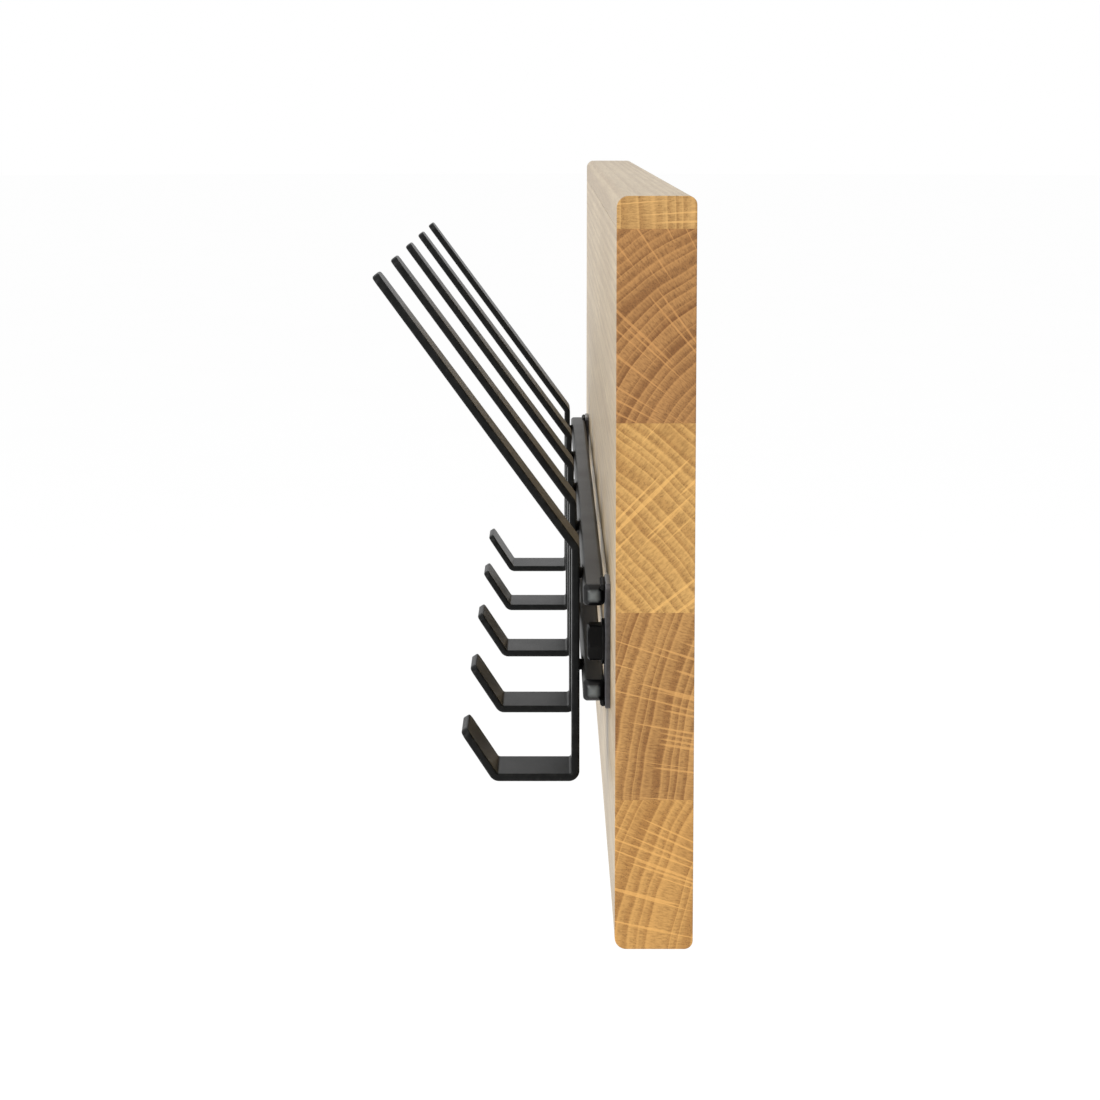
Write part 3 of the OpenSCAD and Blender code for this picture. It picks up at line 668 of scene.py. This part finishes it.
                # squashed into the corner: never behind the plate's face
                yy = min(-0.02, -0.55 + rad * math.cos(a))
                vv.append((x, y_face + yy, z_face + sgn * (-0.25 + rad * math.sin(a))))
        ff = rings_to_faces(m + 1, n)
        ff.append(tuple(reversed(range(n))))
        ff.append(tuple(range(m * n, m * n + n)))
        if sgn < 0:
            ff = [tuple(reversed(q)) for q in ff]
        parts.append((vv, ff))
    v, f = join(parts)
    add("weld_" + side, v, [tuple(reversed(q)) for q in f], [weld], "bracket_welds_" + side, "black_coat", sharp=70.0)

# ------------------------------------------------------------------ hooks

h_lo, h_hi = box_mm("hook_1")
HOOK_T, BEND_R, END_R, EDGE, TIP_W = 3.0, 2.5, 3.5, 0.85, 15.0
st_lo, st_hi = box_mm("weld_studs_upper")
BACK = -box_mm("rail_tube_upper")[0][1] + 1.0     # distance of the bar's back from the wall
MID = BACK + HOOK_T / 2
A, L_ARM, L_BAR, L_FOOT, LIP, L_LIP, BEND_Z = 36.3, 128.3, 89.0, 30.7, 33.3, 21.9, -6.5
sa, ca = math.sin(math.radians(A)), math.cos(math.radians(A))
sl, cl = math.sin(math.radians(LIP)), math.cos(math.radians(LIP))
PATH = [Vector((MID + L_ARM * sa, BEND_Z + L_ARM * ca)), Vector((MID, BEND_Z)), Vector((MID, BEND_Z - L_BAR)), Vector((MID + L_FOOT, BEND_Z - L_BAR))]
PATH.append(PATH[3] + Vector((L_LIP * sl, L_LIP * cl)))


def half_width(d, tip_w, run):
    """Half the bar's width at a distance d from a cut end with rounded corners and, for the arm, a taper."""
    full = (h_hi[0] - h_lo[0]) / 2
    slope = (full + 0.05 - tip_w / 2) / run
    middle = tip_w / 2 + slope * END_R - END_R / math.cos(math.atan(slope))
    if d < END_R:
        return min(full, middle + math.sqrt(max(0.0, END_R ** 2 - (END_R - d) ** 2)))
    return min(full, tip_w / 2 + slope * d)


def hook_stations():
    """(point, left normal, width inset, thickness inset, bulge) along the bar, tip to tip."""
    dirs = [(PATH[i + 1] - PATH[i]).normalized() for i in range(4)]
    left = [Vector((-d.y, d.x)) for d in dirs]
    turn = [math.acos(max(-1, min(1, dirs[i].dot(dirs[i + 1])))) for i in range(3)]
    back = [BEND_R * math.tan(t / 2) for t in turn]
    ends = []
    full = (h_hi[0] - h_lo[0]) / 2
    for d in (0.0, 0.02, 0.06, 0.13, 0.22, 0.34, 0.50, 0.68, 0.90, 1.25, 1.7, 2.2, 2.8, 3.5):
        e = EDGE - math.sqrt(max(0.0, EDGE ** 2 - (EDGE - d) ** 2)) if d < EDGE else 0.0
        ends.append((d, e))
    out = []
    for i in range(4):
        a = PATH[i] + dirs[i] * (back[i - 1] if i else 0.0)
        b = PATH[i + 1] - dirs[i] * (back[i] if i < 3 else 0.0)
        length = (b - a).length
        cut = END_R if i == 0 else 0.0
        cut2 = END_R if i == 3 else 0.0
        if i == 0:
            out += [(a + dirs[i] * d, left[i], full - half_width(d, TIP_W, L_ARM - 12), e, 0.0) for d, e in ends]
        else:
            out.append((a, left[i], 0, 0, 0))
        m = max(2, int((length - cut - cut2) // 9))
        for k in range(1, m):
            d = cut + (length - cut - cut2) * k / m
            out.append((a + dirs[i] * d, left[i], full - half_width(d, TIP_W, L_ARM - 12) if i == 0 else 0.0, 0, 0))
        if i == 3:
            out += [(b - dirs[i] * d, left[i], full - half_width(d, 2 * full, 8), e, 0.0) for d, e in reversed(ends)]
        else:
            out.append((b, left[i], 0, 0, 0))
            centre = b + left[i] * BEND_R
            steps = max(6, int(math.degrees(turn[i]) // 6))
            for k in range(1, steps):
                an = turn[i] * k / steps
                nrm = Vector((left[i].x * math.cos(an) - left[i].y * math.sin(an), left[i].x * math.sin(an) + left[i].y * math.cos(an)))
                out.append((centre - nrm * BEND_R, nrm, 0, 0, math.sin(math.pi * k / steps) * math.sin(turn[i] / 2)))
    return out


STATIONS = hook_stations()


def make_hook(i):
    lo, hi = box_mm(f"hook_{i}")
    xc, hw = (lo[0] + hi[0]) / 2, (hi[0] - lo[0]) / 2
    verts = []
    n = None
    for c, nrm, w, e, bulge in STATIONS:
        sec = rounded_square(hw - w - e, HOOK_T / 2 - e, max(0.03, EDGE - e), 4)
        n = len(sec)
        for a, b in sec:
            # a bent bar swells a little on the inside of the bend and draws in outside
            k = a * (1 + 0.014 * bulge * (b / (HOOK_T / 2)))
            p = c + nrm * b
            verts.append((xc + k, -p.x, p.y))
    faces = rings_to_faces(len(STATIONS), n)
    faces.append(tuple(reversed(range(n))))
    last = (len(STATIONS) - 1) * n
    faces.append(tuple(range(last, last + n)))
    return add(f"bar_hook_{i}", verts, faces, [coat_hook], f"hook_{i}", "black_coat", sharp=60.0)


for i in range(1, 6):
    make_hook(i)

# weld studs behind the hooks
for level in ("upper", "lower"):
    tl, th = box_mm("rail_tube_" + level)
    sl_, sh_ = box_mm("weld_studs_" + level)
    r = (sh_[2] - sl_[2]) / 2
    parts = []
    for i in range(1, 6):
        lo, hi = box_mm(f"hook_{i}")
        xc = (lo[0] + hi[0]) / 2
        prof = [(0, 1.98), (r * 0.93, 1.98), (r * 0.985, 1.8), (r * 0.93, 1.5), (r * 0.90, 1.0), (r * 0.93, 0.5), (r * 0.995, 0.12), (r * 0.97, 0.02), (0, 0.02)]
        v, f = lathe(list(reversed(prof)), 40)
        # its axis runs from the hook's back to the tube
        parts.append(([(xc + a, -BACK + c, (sl_[2] + sh_[2]) / 2 + b) for a, b, c in v], [tuple(reversed(q)) for q in f]))
    v, f = join(parts)
    add("studs_" + level, v, f, [weld], "weld_studs_" + level, "black_coat", sharp=60.0)

# ------------------------------------------------------------------ hangers at the back stay as drawn

for node in ("hanger_plate_left", "hanger_plate_right", "hanger_screws"):
    o = nodes[node]
    o.data.materials.clear()
    o.data.materials.append(zinc if "plate" in node else zinc_screw)
    b = o.modifiers.new("edge", "BEVEL")
    b.width = 0.00012
    b.segments = 2
    b.limit_method = "ANGLE"
    b.angle_limit = math.radians(40)
    b.harden_normals = False

# ------------------------------------------------------------------ stage, light, camera

lo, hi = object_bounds()
floor_z = lo.z - 0.75
N = 48
fv, ff = [(0.0, 0.0, floor_z * 1000)], []
for r in (1.0, 4.0, 12.0, 40.0):
    fv += [(r * 1000 * math.cos(2 * math.pi * k / N), r * 1000 * math.sin(2 * math.pi * k / N), floor_z * 1000) for k in range(N)]
ff += [(0, 1 + k, 1 + (k + 1) % N) for k in range(N)]
ff += rings_to_faces(4, N, start=1)
ft = Tree("floor", (0.985, 0.985, 0.985), 0.9)
fn = ft.noise(ft.where(1.0), 3.0, 3.0, 0.5)
ft.put(ft.mix(ft.fit(fn, 0.3, 0.7, 0.0, 0.3), (0.99, 0.99, 0.99), (0.98, 0.98, 0.98)), ft.bsdf.inputs["Base Color"])
ft.put(ft.fit(fn, 0.3, 0.7, 0.85, 0.95), ft.bsdf.inputs["Roughness"])
ft.bsdf.inputs["Specular IOR Level"].default_value = 0.0
floor = piece("floor", fv, ff, [ft.mat])

scene = bpy.context.scene
world = bpy.data.worlds.new("studio")
world.use_nodes = True
world.node_tree.nodes["Background"].inputs[0].default_value = (1, 1, 1, 1)
world.node_tree.nodes["Background"].inputs[1].default_value = 1.0
scene.world = world


def soft_light(name, at, aim, size, power):
    d = bpy.data.lights.new(name, "AREA")
    d.shape = "DISK"
    d.size = size
    d.energy = power
    o = bpy.data.objects.new(name, d)
    o.location = at
    o.rotation_mode = "QUATERNION"
    o.rotation_quaternion = (Vector(aim) - Vector(at)).to_track_quat("-Z", "Y")
    scene.collection.objects.link(o)
    return o


soft_light("key", (1.75, -1.6, 0.75), (0.1, -0.03, 0), 0.75, 16)
soft_light("top", (0.3, -0.9, 2.0), (0, -0.03, 0), 1.4, 6)

cam_data = bpy.data.cameras.new("camera")
cam = bpy.data.objects.new("camera", cam_data)
scene.collection.objects.link(cam)
scene.camera = cam
cam_data.sensor_width = 36.0
cam_data.lens = 73.731
cam_data.shift_x = 0.0008
cam_data.shift_y = -0.1936
cam_data.clip_start, cam_data.clip_end = 0.05, 200
cam.location = (1.05401, -0.04962, 0.15652)
tilt = math.radians(5.6)
cam.rotation_mode = "QUATERNION"
cam.rotation_quaternion = Vector((-math.cos(tilt), 0.0, -math.sin(tilt))).to_track_quat("-Z", "Y")

scene.view_settings.view_transform = "Standard"
scene.view_settings.look = "None"
scene.view_settings.exposure = 0.0
scene.view_settings.gamma = 1.0
